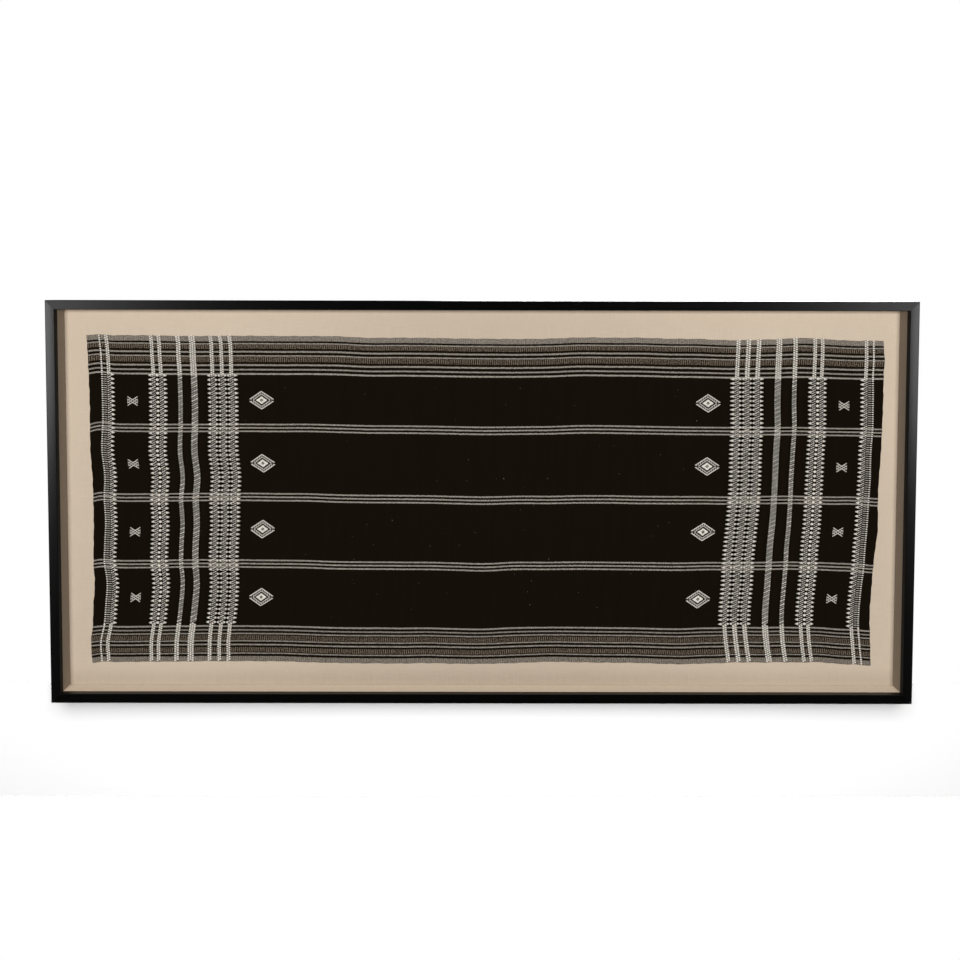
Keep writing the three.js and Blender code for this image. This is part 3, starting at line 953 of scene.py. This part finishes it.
def makeLinen(finish):
    low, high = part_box("linen_ground")
    xs = np.linspace(low.x, high.x, ground["columns"])
    zs = np.linspace(low.z, high.z, ground["rows"])
    x, z = (grid.ravel() for grid in np.meshgrid(xs, zs))
    waves = np.sin(x * ground["swellsAlong"]) * np.sin(z * ground["swellsUp"])
    swell = ground["swell"] * mm * (waves - 1)
    front = np.stack([x, low.y - swell, z], 1)
    back = np.stack([x, np.full(len(x), high.y), z], 1)
    piece = meshPiece("linen_cloth", np.concatenate([front, back]), slab(xs, zs), finish)
    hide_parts("linen_ground")
    return piece


makeLinen(linenFinish("linen_ground_weave", 0, 2))
print("linen laid")

shawl = makeShawl(clothFinish())
weftLook = weftFinish()
for end, onRight in (("left", False), ("right", True)):
    for band in bands:
        layFloats("band_" + band["name"] + "_" + end, bandFloats(band, onRight), weftLook)
lozenges = [row for place in lozenge["places"] for row in lozengeFloats(*place)]
bowTies = [row for place in bowTie["places"] for row in bowTieFloats(*place)]
layFloats("lozenge_motifs", lozenges, weftLook)
layFloats("bow_tie_motifs", bowTies, weftLook)
layFloats("light_nubs", nubFloats(), weftLook)


# Studio: two soft boxes light the cloth, two windows to the sides show only in the paint's shine, a lamp
# lights the lower strip, a strip of white wall takes the frame's shadow, and a lamp stands behind
studio = {"surround": 0.02, "seenWhite": 1.0, "wallWhite": 0.33, "wallWide": 2.9, "wallHigh": 0.3,
          "wallGap": 0.002, "wallOverlap": 0.02}
lights = [
    {"name": "left_box", "side": -1.6, "front": 6.5, "up": 1.0, "wide": 1.8, "high": 1.6, "power": 247,
     "shines": False},
    {"name": "right_box", "side": 1.6, "front": 6.5, "up": 1.0, "wide": 1.8, "high": 1.6, "power": 247,
     "shines": False},
    {"name": "left_window", "side": -4.0, "front": 4.2, "up": 0.40, "wide": 1.5, "high": 2.0, "power": 36,
     "lights": False},
    {"name": "right_window", "side": 4.0, "front": 4.2, "up": 0.40, "wide": 1.5, "high": 2.0, "power": 32,
     "lights": False},
    {"name": "ledge_lamp", "side": 0, "front": 0.9, "up": 3.2, "wide": 3.0, "high": 0.6, "power": 67,
     "only": "spacer_bottom"},
    {"name": "wall_lamp", "side": 0, "front": 3.0, "up": 1.85, "wide": 3.4, "high": 2.4, "power": 560,
     "only": "white_wall"},
    {"name": "rear_lamp", "side": 1.5, "front": -4.0, "up": 1.8, "wide": 4.0, "high": 3.0, "power": 420},
]


def makeWall():
    low = cadLow.z - studio["wallHigh"]
    behind = cadHigh.y + studio["wallGap"]
    half = studio["wallWide"] / 2
    top = cadLow.z + studio["wallOverlap"]
    points = [(-half, behind, low), (half, behind, low), (half, behind, top), (-half, behind, top)]
    mesh = bpy.data.meshes.new("white_wall")
    mesh.from_pydata(points, [], [(0, 1, 2, 3)])
    look = Finish("wall_white", 1.0, 0.0)
    look.colour((studio["wallWhite"],) * 3)
    mesh.materials.append(look.material)
    wall = bpy.data.objects.new("white_wall", mesh)
    bpy.context.scene.collection.objects.link(wall)
    wall.visible_shadow = False
    wall.visible_glossy = False
    wall.visible_diffuse = False


def makeLights():
    target = Vector((0, 0, frameMiddle))
    for row in lights:
        data = bpy.data.lights.new(row["name"], "AREA")
        data.shape = "RECTANGLE"
        data.size = row["wide"]
        data.size_y = row["high"]
        data.energy = row["power"]
        lamp = bpy.data.objects.new(row["name"], data)
        bpy.context.scene.collection.objects.link(lamp)
        lamp.location = target + Vector((row["side"], -row["front"], row["up"]))
        lamp.rotation_euler = (lamp.location - target).to_track_quat("Z", "Y").to_euler()
        lamp.visible_camera = False
        lamp.visible_glossy = row.get("shines", True)
        lamp.visible_diffuse = row.get("lights", True)
        if "only" in row:
            lit = bpy.data.collections.new(row["name"] + "_falls_on")
            lit.objects.link(bpy.data.objects[row["only"]])
            lamp.light_linking.receiver_collection = lit


def makeSurround():
    world = bpy.data.worlds.new("white_surround")
    bpy.context.scene.world = world
    world.use_nodes = True
    tree = world.node_tree
    tree.nodes.clear()
    path = tree.nodes.new("ShaderNodeLightPath")
    mix = tree.nodes.new("ShaderNodeMixShader")
    out = tree.nodes.new("ShaderNodeOutputWorld")
    tree.links.new(path.outputs["Is Camera Ray"], mix.inputs[0])
    for socket, strength in ((1, studio["surround"]), (2, studio["seenWhite"])):
        white = tree.nodes.new("ShaderNodeBackground")
        white.inputs["Strength"].default_value = strength
        white.inputs["Color"].default_value = (1, 1, 1, 1)
        tree.links.new(white.outputs[0], mix.inputs[socket])
    tree.links.new(mix.outputs[0], out.inputs[0])


makeWall()
makeLights()
makeSurround()
bpy.context.scene.view_settings.view_transform = "Standard"
bpy.context.scene.view_settings.look = "None"
print("studio lit")
